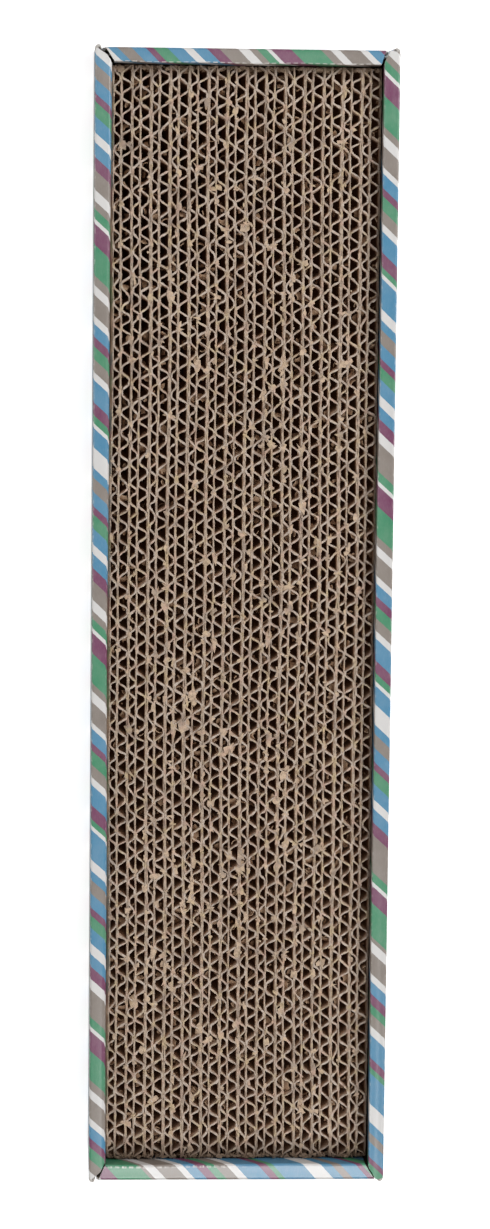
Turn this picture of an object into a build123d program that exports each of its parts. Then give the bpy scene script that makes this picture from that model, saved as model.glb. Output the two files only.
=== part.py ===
from build123d import *
from math import ceil, floor, radians, tan
import os

# Cardboard cat scratcher: a tray folded from one printed board, holding a loose pad of
# double-wall corrugated strips that stand on edge, side by side, with their flutes upright.
# +Z is up, +Y runs along the tray to its head end, and the origin is under the tray's middle.

# Corrugated strips of the pad
strip_count = 14
strip_height = 42.0
pad_length = 461.0
liner_thickness = 0.35
medium_thickness = 0.35
coarse_flute_height = 4.0
coarse_flute_pitch = 8.75
fine_flute_height = 2.9
fine_flute_pitch = 8.05
coarse_phase_step = 0.37  # share of a pitch by which each strip's flutes start after the last one's
fine_phase_step = 0.23

# Room for the pad to drop in and lift out
pad_left_gap = 1.6
pad_right_gap = 0.6
pad_end_clearance = 1.2
rim_above_pad = 6.4

# Folded board of the tray
board_thickness = 1.6
flap_clearance = 0.75  # on either side of a corner flap, inside the hollow of an end wall
crease_radius = 0.8
crease_bevel = 0.5  # around the underside, where the walls fold up
mitre_lean = 3.2  # how far short of the outer corner a rim's mitre comes out
mitre_gap = 1.0
corner_stand_out = 1.1  # how far a corner bend stands out past the end wall
bend_inside_radius = 0.6
bend_straight = 0.4  # flat board between the corner bend and the step behind it
step_angle = 50.0  # slope at which a corner flap steps in behind the end wall
flap_length = 40.0

# Tabs that lock the inner walls down into the base
side_tab_width = 50.0
side_tab_gap = 0.3  # from a side wall's tab to its outer panel, as the inner panel leans out
end_tab_width = 30.0
tab_recess = 0.2  # from the tray's underside up to a tab's end
slot_end_clearance = 2.0
slot_outer_clearance = 0.3
slot_inner_clearance = 2.0

# Sizes that follow
strip_width = 3 * liner_thickness + fine_flute_height + coarse_flute_height
pad_width = strip_count * strip_width
rim_width = 3 * board_thickness + 2 * flap_clearance
inner_half_width = (pad_left_gap + pad_width + pad_right_gap) / 2
pad_left = pad_left_gap - inner_half_width
outer_half_width = inner_half_width + rim_width
inner_half_length = pad_length / 2 + pad_end_clearance
outer_half_length = inner_half_length + rim_width
side_tab_face = outer_half_width - 2 * board_thickness - side_tab_gap
floor_level = board_thickness
tray_height = floor_level + strip_height + rim_above_pad
rim_underside = tray_height - board_thickness
panel_height = rim_underside - floor_level
bend_radius = board_thickness + bend_inside_radius
bend_face = outer_half_length + corner_stand_out
bend_start = bend_face - bend_radius - bend_straight
step_depth = corner_stand_out + board_thickness + flap_clearance
step_start = bend_radius * (1 + tan(radians(step_angle / 2))) + bend_straight
step_end = step_start + step_depth / tan(radians(step_angle))

# Ground planes whose X points out through each wall
right_side = Plane((0, 0, 0), x_dir=(1, 0, 0), z_dir=(0, 0, 1))
left_side = Plane((0, 0, 0), x_dir=(-1, 0, 0), z_dir=(0, 0, 1))
head_end = Plane((0, 0, 0), x_dir=(0, 1, 0), z_dir=(0, 0, 1))
foot_end = Plane((0, 0, 0), x_dir=(0, -1, 0), z_dir=(0, 0, 1))

os.makedirs("parts", exist_ok=True)


def save(piece, name):
    piece.label = name
    export_step(piece, f"parts/{name}.step")


def flute_outline(pitch, height, phase, back, side):
    # Plan of a medium: its back lies along one liner and its folds reach over to the next.
    end = pad_length / 2
    first = ceil(2 * (phase - end / pitch))
    last = floor(2 * (phase + end / pitch))
    folds = [(fold / 2 - phase) * pitch for fold in range(first, last + 1)]
    inside = [place for place in folds if abs(place) < end - medium_thickness]
    outline = [(back, -end)]
    for place in [-end, *inside, end]:
        share = (place / pitch + phase) % 1
        rise = medium_thickness + (height - medium_thickness) * abs(2 * share - 1)
        outline.append((back + side * rise, place))
    outline.append((back, end))
    return outline


def both_ends(half):
    # A plan outline from its part past the wall's middle, with the same again at the other end.
    return half + [(across, -along) for across, along in reversed(half)]


# Strips, numbered from the left: liner, fine flutes, liner, coarse flutes, liner
for index in range(strip_count):
    strip_name = f"strip_{index + 1:02d}"
    strip_left = pad_left + index * strip_width
    strip_right = strip_left + strip_width
    fine_back = strip_left + liner_thickness
    middle_liner = fine_back + fine_flute_height
    coarse_back = strip_right - liner_thickness

    with BuildPart() as liners:
        with BuildSketch(Plane.XY.offset(floor_level)):
            with Locations((strip_left, 0), (middle_liner, 0), (coarse_back, 0)):
                Rectangle(liner_thickness, pad_length, align=(Align.MIN, Align.CENTER))
        extrude(amount=strip_height)
    save(liners.part, f"{strip_name}_liners")

    fine_plan = flute_outline(
        fine_flute_pitch, fine_flute_height, index * fine_phase_step, fine_back, 1
    )
    with BuildPart() as fine_flute:
        with BuildSketch(Plane.XY.offset(floor_level)):
            with BuildLine():
                Polyline(fine_plan, close=True)
            make_face()
        extrude(amount=strip_height)
    save(fine_flute.part, f"{strip_name}_fine_flute")

    coarse_plan = flute_outline(
        coarse_flute_pitch, coarse_flute_height, index * coarse_phase_step, coarse_back, -1
    )
    with BuildPart() as coarse_flute:
        with BuildSketch(Plane.XY.offset(floor_level)):
            with BuildLine():
                Polyline(coarse_plan, close=True)
            make_face()
        extrude(amount=strip_height)
    save(coarse_flute.part, f"{strip_name}_coarse_flute")


# Base, with a slot beside each inner wall for its tab
with BuildPart() as base_panel:
    with BuildSketch() as base_plan:
        Rectangle(2 * outer_half_width, 2 * outer_half_length)
        chamfer(base_plan.vertices(), length=board_thickness)
    extrude(amount=board_thickness)
    underside = base_panel.faces().sort_by(Axis.Z)[0]
    chamfer(underside.outer_wire().edges(), length=crease_bevel)
    slot_depth = slot_inner_clearance + board_thickness + slot_outer_clearance
    for ground, tab_face, tab_width in (
        (right_side, side_tab_face, side_tab_width),
        (left_side, side_tab_face, side_tab_width),
        (head_end, inner_half_length, end_tab_width),
        (foot_end, inner_half_length, end_tab_width),
    ):
        with BuildSketch(ground):
            with Locations((tab_face - slot_inner_clearance, 0)):
                slot_width = tab_width + 2 * slot_end_clearance
                Rectangle(slot_depth, slot_width, align=(Align.MIN, Align.CENTER))
        extrude(amount=board_thickness, mode=Mode.SUBTRACT)
save(base_panel.part, "base_panel")

# Side walls: outer panel up, rim across, inner panel leaning out on its way back down to its tab
side_rim_plan = both_ends(
    [
        (inner_half_width, inner_half_length),
        (outer_half_width - mitre_lean, outer_half_length),
        (outer_half_width, bend_start),
    ]
)
leaning_panel = [
    (inner_half_width, rim_underside),
    (inner_half_width + board_thickness, rim_underside),
    (side_tab_face + board_thickness, floor_level),
    (side_tab_face, floor_level),
]
for name, ground in (("right_wall", right_side), ("left_wall", left_side)):
    with BuildPart() as side_wall:
        with BuildSketch(ground.offset(floor_level)):
            with Locations((outer_half_width, 0)):
                Rectangle(board_thickness, 2 * bend_start, align=(Align.MAX, Align.CENTER))
        extrude(amount=panel_height)
        with BuildSketch(Plane((0, 0, 0), x_dir=ground.x_dir, z_dir=-ground.y_dir)):
            with BuildLine():
                Polyline(leaning_panel, close=True)
            make_face()
        extrude(amount=inner_half_length, both=True)
        with BuildSketch(ground.offset(rim_underside)):
            with BuildLine():
                Polyline(side_rim_plan, close=True)
            make_face()
        extrude(amount=board_thickness)
        fillet(side_wall.edges().filter_by(Axis.Y).group_by(Axis.Z)[-1], radius=crease_radius)
        with BuildSketch(ground.offset(tab_recess)):
            with Locations((side_tab_face, 0)):
                Rectangle(board_thickness, side_tab_width, align=(Align.MIN, Align.CENTER))
        extrude(amount=floor_level - tab_recess)
    save(side_wall.part, name)

# End walls: the same fold, with shorter panels that leave the corners to the side walls
end_rim_plan = both_ends(
    [
        (inner_half_length, inner_half_width - mitre_gap),
        (outer_half_length, outer_half_width - mitre_lean - mitre_gap),
    ]
)
for name, ground in (("head_wall", head_end), ("foot_wall", foot_end)):
    with BuildPart() as end_wall:
        with BuildSketch(ground.offset(floor_level)):
            with Locations((inner_half_length, 0)):
                inner_run = 2 * (inner_half_width - mitre_gap)
                Rectangle(board_thickness, inner_run, align=(Align.MIN, Align.CENTER))
            with Locations((outer_half_length, 0)):
                outer_run = 2 * (outer_half_width - step_end)
                Rectangle(board_thickness, outer_run, align=(Align.MAX, Align.CENTER))
        extrude(amount=panel_height)
        with BuildSketch(ground.offset(rim_underside)):
            with BuildLine():
                Polyline(end_rim_plan, close=True)
            make_face()
        extrude(amount=board_thickness)
        fillet(end_wall.edges().filter_by(Axis.X).group_by(Axis.Z)[-1], radius=crease_radius)
        with BuildSketch(ground.offset(tab_recess)):
            with Locations((inner_half_length, 0)):
                Rectangle(board_thickness, end_tab_width, align=(Align.MIN, Align.CENTER))
        extrude(amount=floor_level - tab_recess)
    save(end_wall.part, name)

# Corner flaps: each bends round from a side wall and steps in behind the end wall
flap_end = outer_half_width - step_end - flap_length
step_shift = board_thickness * tan(radians(step_angle / 2))
flap_outer_face = [
    (outer_half_width, bend_start),
    (outer_half_width, bend_face),
    (outer_half_width - step_start, bend_face),
    (outer_half_width - step_end, bend_face - step_depth),
    (flap_end, bend_face - step_depth),
]
flap_inner_face = [
    (outer_half_width - board_thickness, bend_start),
    (outer_half_width - board_thickness, bend_face - board_thickness),
    (outer_half_width - step_start + step_shift, bend_face - board_thickness),
    (outer_half_width - step_end + step_shift, bend_face - step_depth - board_thickness),
    (flap_end, bend_face - step_depth - board_thickness),
]
for name, x_side, y_side in (
    ("head_right_flap", 1, 1),
    ("head_left_flap", -1, 1),
    ("foot_right_flap", 1, -1),
    ("foot_left_flap", -1, -1),
):
    outer_points = [(x_side * across, y_side * along) for across, along in flap_outer_face]
    inner_points = [(x_side * across, y_side * along) for across, along in flap_inner_face]
    with BuildPart() as corner_flap:
        with BuildSketch(Plane.XY.offset(floor_level)):
            with BuildLine():
                FilletPolyline(outer_points, radius=[bend_radius, bend_radius, bend_inside_radius])
                Line(outer_points[-1], inner_points[-1])
                FilletPolyline(
                    inner_points, radius=[bend_inside_radius, bend_inside_radius, bend_radius]
                )
                Line(inner_points[0], outer_points[0])
            make_face()
        extrude(amount=panel_height)
    save(corner_flap.part, name)
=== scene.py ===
import bmesh
import bpy
import math
import numpy as np
from mathutils import Matrix, Vector


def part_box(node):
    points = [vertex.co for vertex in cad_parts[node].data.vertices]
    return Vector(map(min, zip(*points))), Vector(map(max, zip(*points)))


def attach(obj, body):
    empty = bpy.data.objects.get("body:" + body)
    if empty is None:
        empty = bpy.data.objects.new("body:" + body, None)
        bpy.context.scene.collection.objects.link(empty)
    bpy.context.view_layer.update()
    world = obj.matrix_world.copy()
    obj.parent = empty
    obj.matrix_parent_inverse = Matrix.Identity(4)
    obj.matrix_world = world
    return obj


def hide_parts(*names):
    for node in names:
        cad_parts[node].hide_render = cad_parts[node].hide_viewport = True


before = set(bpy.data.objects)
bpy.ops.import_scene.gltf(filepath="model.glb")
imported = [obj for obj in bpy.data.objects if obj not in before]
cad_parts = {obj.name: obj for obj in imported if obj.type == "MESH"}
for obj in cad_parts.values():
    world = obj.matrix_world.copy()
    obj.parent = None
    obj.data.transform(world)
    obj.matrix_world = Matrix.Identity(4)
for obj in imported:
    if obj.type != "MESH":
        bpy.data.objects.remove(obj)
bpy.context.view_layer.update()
bpy.ops.object.select_all(action="DESELECT")
mm = 0.001

# Places that the frame gives
sideLow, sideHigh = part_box("right_wall")
endLow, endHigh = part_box("head_wall")
flapLow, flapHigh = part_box("head_right_flap")
firstLow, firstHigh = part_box("strip_01_liners")
lastLow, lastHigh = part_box("strip_14_liners")
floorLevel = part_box("base_panel")[1].z
trayHeight = sideHigh.z
outX, inX = sideHigh.x, sideLow.x
outY, inY = endHigh.y, endLow.y
endRimX = endHigh.x
padTop, padBottom = firstHigh.z, firstLow.z
stripCount = 14
touching = 1e-6  # metres, within which two places count as one


# Mesh helpers

def readPlaces(piece):
    places = np.empty(len(piece.data.vertices) * 3)
    piece.data.vertices.foreach_get("co", places)
    return places.reshape(-1, 3)


def writePlaces(piece, places):
    piece.data.vertices.foreach_set("co", places.ravel())
    piece.data.update()


def setMode(piece, mode):
    bpy.context.view_layer.objects.active = piece
    bpy.ops.object.mode_set(mode=mode)


def addPlane(name):
    # left in edit mode
    bpy.ops.object.select_all(action="DESELECT")
    bpy.ops.mesh.primitive_plane_add(size=1)
    piece = bpy.context.object
    piece.name = name
    setMode(piece, "EDIT")
    return piece


def selectEdges(piece, wanted):
    # in edit mode: picks the edges whose two ends pass the test
    bpy.context.tool_settings.mesh_select_mode = (False, True, False)
    bpy.ops.mesh.select_all(action="DESELECT")
    mesh = bmesh.from_edit_mesh(piece.data)
    for edge in mesh.edges:
        if wanted(edge.verts[0].co, edge.verts[1].co):
            edge.select_set(True)
    bmesh.update_edit_mesh(piece.data)


def addAndApply(piece, kind, **settings):
    bpy.context.view_layer.objects.active = piece
    modifier = piece.modifiers.new(kind.lower(), kind)
    for key, value in settings.items():
        setattr(modifier, key, value)
    bpy.ops.object.modifier_apply(modifier=modifier.name)


def joinPieces(pieces, name):
    bpy.ops.object.select_all(action="DESELECT")
    for piece in pieces:
        piece.select_set(True)
    bpy.context.view_layer.objects.active = pieces[0]
    if len(pieces) > 1:
        bpy.ops.object.join()
    pieces[0].name = name
    return pieces[0]


def smoothPiece(piece, degrees):
    bpy.ops.object.select_all(action="DESELECT")
    piece.select_set(True)
    bpy.context.view_layer.objects.active = piece
    bpy.ops.object.shade_smooth_by_angle(angle=math.radians(degrees))
    piece.select_set(False)


# Node helpers

def ink(red, green, blue):
    # a screen colour, 0 to 255, as the linear colour that a node takes
    shares = [value / 255 for value in (red, green, blue)]
    return (*[share / 12.92 if share < 0.04 else ((share + 0.055) / 1.055) ** 2.4 for share in shares], 1)


def feed(tree, node, inputs):
    # links an input that comes from another node, and sets any other
    for key, value in dict(inputs).items():
        if isinstance(value, bpy.types.NodeSocket):
            tree.links.new(value, node.inputs[key])
        else:
            node.inputs[key].default_value = value


def addNode(tree, kind, inputs=(), **settings):
    node = tree.nodes.new(kind)
    for key, value in settings.items():
        setattr(node, key, value)
    feed(tree, node, inputs)
    return node


def mathNode(tree, operation, *values):
    return addNode(tree, "ShaderNodeMath", enumerate(values), operation=operation).outputs[0]


def timesNode(tree, product, *values):
    for value in values:
        product = mathNode(tree, "MULTIPLY", product, value)
    return product


def apartNode(tree, first, second):
    return mathNode(tree, "ABSOLUTE", mathNode(tree, "SUBTRACT", first, second))


def rangeNode(tree, value, low, high, start=0.0, end=1.0):
    inputs = {"Value": value, "From Min": low, "From Max": high, "To Min": start, "To Max": end}
    return addNode(tree, "ShaderNodeMapRange", inputs).outputs[0]


def mixNode(tree, factor, first, second, blend="MIX"):
    inputs = {0: factor, 6: first, 7: second}
    return addNode(tree, "ShaderNodeMix", inputs, data_type="RGBA", blend_type=blend).outputs[2]


def noiseNode(tree, vector, scale, detail=3.0, roughness=0.5, apart=0.0):
    # apart: moves the pattern, so that two of the same scale differ
    if apart:
        moved = {"Vector": vector, "Location": (apart, apart, 0)}
        vector = addNode(tree, "ShaderNodeMapping", moved).outputs[0]
    inputs = {"Vector": vector, "Scale": scale, "Detail": detail, "Roughness": roughness}
    return addNode(tree, "ShaderNodeTexNoise", inputs).outputs[0]


def addBump(tree, shader, height, distance, strength):
    bump = addNode(tree, "ShaderNodeBump", {"Height": height, "Distance": distance, "Strength": strength})
    feed(tree, shader, {"Normal": bump.outputs[0]})


def newMaterial(name):
    material = bpy.data.materials.new(name)
    material.use_nodes = True
    tree = material.node_tree
    return material, tree, tree.nodes["Principled BSDF"]


# Paper: the scale of each pattern in its grain, in cells to the metre
grainLook = {"cloud": 130, "fibre": 2600, "fibreStretch": (1.0, 0.22, 1.0), "fleck": 900, "fuzz": 1900}


def makePaperGrain():
    # fibres, flecks and cloudy patches that every paper here shares, from a place in metres
    group = bpy.data.node_groups.new("paperGrain", "ShaderNodeTree")
    group.interface.new_socket("Place", in_out="INPUT", socket_type="NodeSocketVector")
    for name in ("Cloud", "Fibre", "Fleck", "Height"):
        group.interface.new_socket(name, in_out="OUTPUT", socket_type="NodeSocketFloat")
    place = group.nodes.new("NodeGroupInput").outputs["Place"]
    ends = group.nodes.new("NodeGroupOutput")
    stretch = {"Vector": place, "Scale": grainLook["fibreStretch"]}
    stretched = addNode(group, "ShaderNodeMapping", stretch).outputs[0]
    cloud = noiseNode(group, place, grainLook["cloud"], 4)
    fibre = noiseNode(group, stretched, grainLook["fibre"], 5, 0.65)
    fleck = rangeNode(group, noiseNode(group, place, grainLook["fleck"], 2), 0.66, 0.74)
    fuzz = noiseNode(group, place, grainLook["fuzz"], 3, 0.7)
    height = mathNode(group, "ADD", fibre, fuzz)
    feed(group, ends, {"Cloud": cloud, "Fibre": fibre, "Fleck": fleck, "Height": height})
    return group


paperGrain = makePaperGrain()


def grainIn(tree):
    place = addNode(tree, "ShaderNodeTexCoord").outputs["Object"]
    return place, addNode(tree, "ShaderNodeGroup", {"Place": place}, node_tree=paperGrain).outputs


kraftLook = {
    "liner": {"face": ink(212, 182, 154), "dark": ink(174, 142, 116), "cut": ink(187, 169, 151)},
    "medium": {"face": ink(208, 180, 156), "dark": ink(168, 140, 118), "cut": ink(194, 179, 166)},
    "torn": {"face": ink(190, 163, 136), "dark": ink(150, 124, 101), "cut": ink(201, 177, 152)},
    # tints of the cut edges: colour, scale, how far the pattern is moved, and the most it covers
    "tints": [
        (ink(158, 142, 130), 150, 0.0, 0.9),
        (ink(196, 174, 132), 210, 3.0, 0.65),
        (ink(200, 164, 146), 230, 7.0, 0.6),
    ],
    "dull": ink(141, 120, 104),  # between the fibres of the cut edges
    "mottle": (620, 0.6),  # its scale, and the most it covers
    "flecks": 0.5,  # the most that dark flecks and pale clouds cover
    "clouds": 0.35,
    "cutDepth": (0.25 * mm, 0.9 * mm),  # how far down the cut's colours are full, and where they end
    "shade": ink(68, 55, 47),  # painted shade, darkening the cut edges along the pad's ends and its right side, where the walls' shade falls
    "footShade": (10 * mm, 0.8),  # how far in it starts, and its share at the very end
    "headShade": (5 * mm, 0.65),
    "sideShade": (1.3 * mm, 0.3 * mm, 0.8),  # how far in it starts and is full, and its share there
    "endDepth": (2.4 * mm, 5.5 * mm),  # how far down it is full, and where it ends
    "sideDepth": (0.8 * mm, 2.6 * mm),
    "paintedGlow": ink(9, 4, 2),  # painted glow: an emission that lifts the deep cells, standing in for the little light that comes through the thin paper
    "roughness": (0.8, 0.95),
    "specular": 0.2,
    "bump": (0.12 * mm, 0.35),  # distance and strength
}


def paintedShadeNearWalls(tree, axes, fromMiddle):
    # masks of painted shade on the pad's ends and its right side, near the cut, where the walls' shade falls
    edge = (padTop - padBottom) / 2
    footIn, footShare = kraftLook["footShade"]
    headIn, headShare = kraftLook["headShade"]
    sideIn, sideFull, sideShare = kraftLook["sideShade"]
    nearFoot = rangeNode(tree, axes["Y"], -lastHigh.y + footIn, -lastHigh.y, 0, footShare)
    nearHead = rangeNode(tree, axes["Y"], lastHigh.y - headIn, lastHigh.y, 0, headShare)
    nearSide = rangeNode(tree, axes["X"], lastHigh.x - sideIn, lastHigh.x - sideFull, 0, sideShare)
    nearEnd = mathNode(tree, "MAXIMUM", nearFoot, nearHead)
    masks = []
    # each mask here is painted shade, near the ends and near the side, faded out below the cut
    for crushed, (full, gone) in ((nearEnd, kraftLook["endDepth"]), (nearSide, kraftLook["sideDepth"])):
        nearCut = rangeNode(tree, fromMiddle, edge - gone, edge - full)
        masks.append(timesNode(tree, crushed, nearCut))
    return masks


def makeKraft(name, look):
    material, tree, shader = newMaterial(name)
    place, grain = grainIn(tree)
    axes = addNode(tree, "ShaderNodeSeparateXYZ", {"Vector": place}).outputs
    middle = (padTop + padBottom) / 2
    fromMiddle = apartNode(tree, axes["Z"], middle)
    full, gone = kraftLook["cutDepth"]
    cut = rangeNode(tree, fromMiddle, padTop - middle - gone, padTop - middle - full)
    face = mixNode(tree, grain["Fibre"], look["dark"], look["face"])
    clouds = rangeNode(tree, grain["Cloud"], 0.3, 0.7, 0, kraftLook["clouds"])
    paler = mixNode(tree, clouds, face, look["cut"])
    flecked = mixNode(tree, timesNode(tree, grain["Fleck"], kraftLook["flecks"]), paler, look["dark"])
    tinted = look["cut"]
    for tint, scale, apart, most in kraftLook["tints"]:
        patch = noiseNode(tree, place, scale, 2, 0.5, apart)
        tinted = mixNode(tree, rangeNode(tree, patch, 0.52, 0.7, 0, most), tinted, tint)
    scale, most = kraftLook["mottle"]
    mottle = rangeNode(tree, noiseNode(tree, place, scale, 3, 0.6), 0.42, 0.66, 0, most)
    colour = mixNode(tree, cut, flecked, mixNode(tree, mottle, tinted, kraftLook["dull"]))
    # painted shade near the walls, over the cut edges
    for mask in paintedShadeNearWalls(tree, axes, fromMiddle):
        colour = mixNode(tree, mask, colour, kraftLook["shade"])
    feed(tree, shader, {
        "Base Color": colour,
        "Roughness": rangeNode(tree, grain["Fibre"], 0.2, 0.8, *kraftLook["roughness"]),
        "Specular IOR Level": kraftLook["specular"],
        # painted glow, which lifts the deep cells
        "Emission Color": kraftLook["paintedGlow"],
        "Emission Strength": 1.0,
    })
    addBump(tree, shader, grain["Height"], *kraftLook["bump"])
    return material


# Print: one run of slanted stripes over the whole flat blank, so that they carry on over every crease
stripePrint = {
    "repeat": 120 * mm,
    "start": 197.5 * mm,
    "wobble": 0.12 * mm,
    "wobbleScale": 700,
    "inks": {
        "blue": ink(70, 133, 168),
        "green": ink(60, 136, 99),
        "purple": ink(114, 56, 91),
        "taupe": ink(133, 123, 115),
        "white": ink(213, 211, 209),
    },
    "first": [
        ("purple", 5.6), ("green", 8.9), ("taupe", 2.6), ("white", 3.0), ("taupe", 6.1), ("white", 2.0),
        ("blue", 3.9), ("purple", 2.5), ("green", 3.9), ("taupe", 3.7), ("white", 2.4), ("blue", 6.1),
        ("purple", 4.0), ("green", 2.2), ("white", 1.4),
    ],
    "middle": [
        ("blue", 3.1), ("taupe", 3.9), ("blue", 4.2), ("purple", 2.4), ("green", 3.9), ("blue", 4.6),
        ("white", 3.1), ("blue", 3.8), ("purple", 3.8),
    ],
    "wideWhite": [("blue", 5.6), ("white", 5.6)],
    "wideBlue": [("blue", 8.8), ("white", 2.8)],
    "twoTaupes": [("taupe", 5.6), ("white", 3.1), ("taupe", 2.5), ("green", 2.5), ("white", 1.8)],
    "oneTaupe": [("white", 3.3), ("taupe", 8.2), ("green", 2.6), ("white", 1.7)],
    "plainTaupe": [("taupe", 11.2), ("green", 2.6), ("white", 1.7)],
    "last": [
        ("purple", 5.0), ("green", 10.0), ("taupe", 1.1), ("white", 3.3), ("taupe", 6.8), ("white", 2.2),
        ("blue", 3.7), ("purple", 2.9), ("green", 3.1), ("taupe", 3.3), ("white", 3.1), ("blue", 6.8),
        ("purple", 2.9), ("green", 1.5), ("blue", 9.4), ("white", 5.5), ("blue", 3.1), ("taupe", 2.9),
        ("blue", 4.4), ("purple", 2.0), ("green", 3.9), ("blue", 4.6), ("white", 3.1), ("blue", 3.8),
        ("purple", 3.8),
    ],
    # what a repeat is made of, and the repeats that differ, by their number
    "usualRepeat": ("first", "wideWhite", "middle", "twoTaupes"),
    "otherRepeats": {
        1: ("first", "wideBlue", "middle", "oneTaupe"),
        2: ("first", "wideWhite", "middle", "plainTaupe"),
        3: ("last", "twoTaupes"),
    },
}


def stripeRamp(tree, share, runs):
    stripes = [stripe for run in runs for stripe in stripePrint[run]]
    ramp = addNode(tree, "ShaderNodeValToRGB", {"Fac": share})
    ramp.color_ramp.interpolation = "CONSTANT"
    total = sum(width for name, width in stripes)
    ends = np.cumsum([0] + [width / total for name, width in stripes])
    elements = ramp.color_ramp.elements
    elements.remove(elements[1])
    for index, (name, width) in enumerate(stripes):
        element = elements[0] if index == 0 else elements.new(float(ends[index]))
        element.position = float(ends[index])
        element.color = stripePrint["inks"][name]
    return ramp.outputs["Color"]


printLook = {
    "roughness": (0.34, 0.46),
    "specular": 0.35,
    "coat": 0.75,
    "coatRoughness": 0.2,
    "perforationPitch": 3.1 * mm,
    "perforationDash": 0.62,
    "dashEdge": (0.3 * mm, 0.5 * mm),  # from a dash's middle, where it starts to fade and is gone
    "footDash": 0.9 * mm,  # how far from the fold the foot's dashes lie
    "footDashFade": (-15 * mm, 10 * mm),  # across the foot, where they start to fade and are gone
    "rub": (0.2 * mm, 0.75 * mm),  # from a crease: how far bare board shows most, and at all
    "rubScale": 420,
    "tornScale": 520,
    "patchScale": 55,
    "grain": 0.12,  # of the paper, as it shows through
    "bareBoard": ink(226, 221, 214),
    "bump": (0.15 * mm, 0.35),  # distance and strength
}


def stripesOn(tree, flat, axes):
    across = timesNode(tree, mathNode(tree, "SUBTRACT", axes["Y"], axes["X"]), math.sqrt(0.5))
    wobble = stripePrint["wobble"]
    astray = rangeNode(tree, noiseNode(tree, flat, stripePrint["wobbleScale"], 2), 0, 1, -wobble, wobble)
    wobbled = mathNode(tree, "ADD", across, astray)
    fromStart = mathNode(tree, "SUBTRACT", stripePrint["start"], wobbled)
    repeats = mathNode(tree, "DIVIDE", fromStart, stripePrint["repeat"])
    share = mathNode(tree, "FRACT", repeats)
    stripes = stripeRamp(tree, share, stripePrint["usualRepeat"])
    for number, runs in stripePrint["otherRepeats"].items():
        inRepeat = mathNode(tree, "COMPARE", mathNode(tree, "FLOOR", repeats), number, 0.1)
        stripes = mixNode(tree, inRepeat, stripes, stripeRamp(tree, share, runs))
    return stripes


def rubOn(tree, flat, axes):
    # how much ink is rubbed off along the creases
    rub = 0.0
    most, least = printLook["rub"]
    for axis, crease in (("X", "sideOuter"), ("X", "sideInner"), ("Y", "endOuter")):
        near = apartNode(tree, mathNode(tree, "ABSOLUTE", axes[axis]), creaseLines[crease])
        rub = mathNode(tree, "MAXIMUM", rub, rangeNode(tree, near, most, least, 1, 0))
    patchy = rangeNode(tree, noiseNode(tree, flat, printLook["rubScale"], 4), 0.5, 0.8, 0, 0.6)
    return timesNode(tree, rub, patchy)


def dashesOn(tree, flat, axes):
    # dashes where the end walls' inner fold is perforated: all along at the head, and on the foot's left
    # here and there
    atFoot = mathNode(tree, "LESS_THAN", axes["Y"], 0.0)
    onRim = timesNode(tree, atFoot, printLook["footDash"])
    fold = mathNode(tree, "ADD", mathNode(tree, "ABSOLUTE", axes["Y"]), onRim)
    fromFold = apartNode(tree, fold, creaseLines["endInner"])
    onFold = rangeNode(tree, fromFold, *printLook["dashEdge"], 1, 0)
    inPitch = mathNode(tree, "FRACT", mathNode(tree, "DIVIDE", axes["X"], printLook["perforationPitch"]))
    dash = mathNode(tree, "LESS_THAN", inPitch, printLook["perforationDash"])
    torn = rangeNode(tree, noiseNode(tree, flat, printLook["tornScale"], 3), 0.35, 0.55, 0.3, 1.0)
    patchy = noiseNode(tree, flat, printLook["patchScale"], 2)
    onLeft = rangeNode(tree, axes["X"], *printLook["footDashFade"], 1, 0)
    headShows = rangeNode(tree, patchy, 0.42, 0.6, 0.55, 1)
    footShows = timesNode(tree, onLeft, rangeNode(tree, patchy, 0.42, 0.6, 0.12, 1))
    shows = rangeNode(tree, atFoot, 0, 1, headShows, footShows)
    return timesNode(tree, onFold, dash, torn, shows)


def makePrintedBoard():
    material, tree, shader = newMaterial("printedBoard")
    grain = grainIn(tree)[1]
    flat = addNode(tree, "ShaderNodeUVMap", uv_map="print").outputs["UV"]
    axes = addNode(tree, "ShaderNodeSeparateXYZ", {"Vector": flat}).outputs
    colour = stripesOn(tree, flat, axes)
    bare = dashesOn(tree, flat, axes)
    # bare board shows where the ink lies thin over some fibres, along the creases and in the dashes
    thin = rangeNode(tree, grain["Cloud"], 0.3, 0.75, 0.0, 0.08)
    fibres = rangeNode(tree, grain["Fibre"], 0.5, 0.75, 0, 0.06)
    for share in (thin, fibres, rubOn(tree, flat, axes), bare):
        colour = mixNode(tree, share, colour, printLook["bareBoard"])
    feed(tree, shader, {
        "Base Color": colour,
        "Roughness": rangeNode(tree, grain["Cloud"], 0.25, 0.75, *printLook["roughness"]),
        "Specular IOR Level": printLook["specular"],
        "Coat Weight": printLook["coat"],
        "Coat Roughness": printLook["coatRoughness"],
    })
    # the paper's grain shows faintly through the print, and the perforations are nicked
    height = mathNode(tree, "SUBTRACT", timesNode(tree, grain["Height"], printLook["grain"]), bare)
    addBump(tree, shader, height, *printLook["bump"])
    return material


boardLook = {
    "inside": (ink(176, 160, 140), ink(150, 133, 112)),
    "edge": (ink(214, 211, 207), ink(182, 176, 169)),
    "edgeFlutePitch": 1.6 * mm,
    "waveBand": 0.31,  # width of a wave texture's band at a scale of 1
    "insideRoughness": (0.75, 0.92),
    "edgeRoughness": (0.8, 0.95),
    "insideFlecks": 0.4,
    "edgeFlutes": 0.55,
    "insideBump": (0.1 * mm, 0.3),  # distance and strength
    "edgeBump": (0.2 * mm, 0.5),
}


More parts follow.
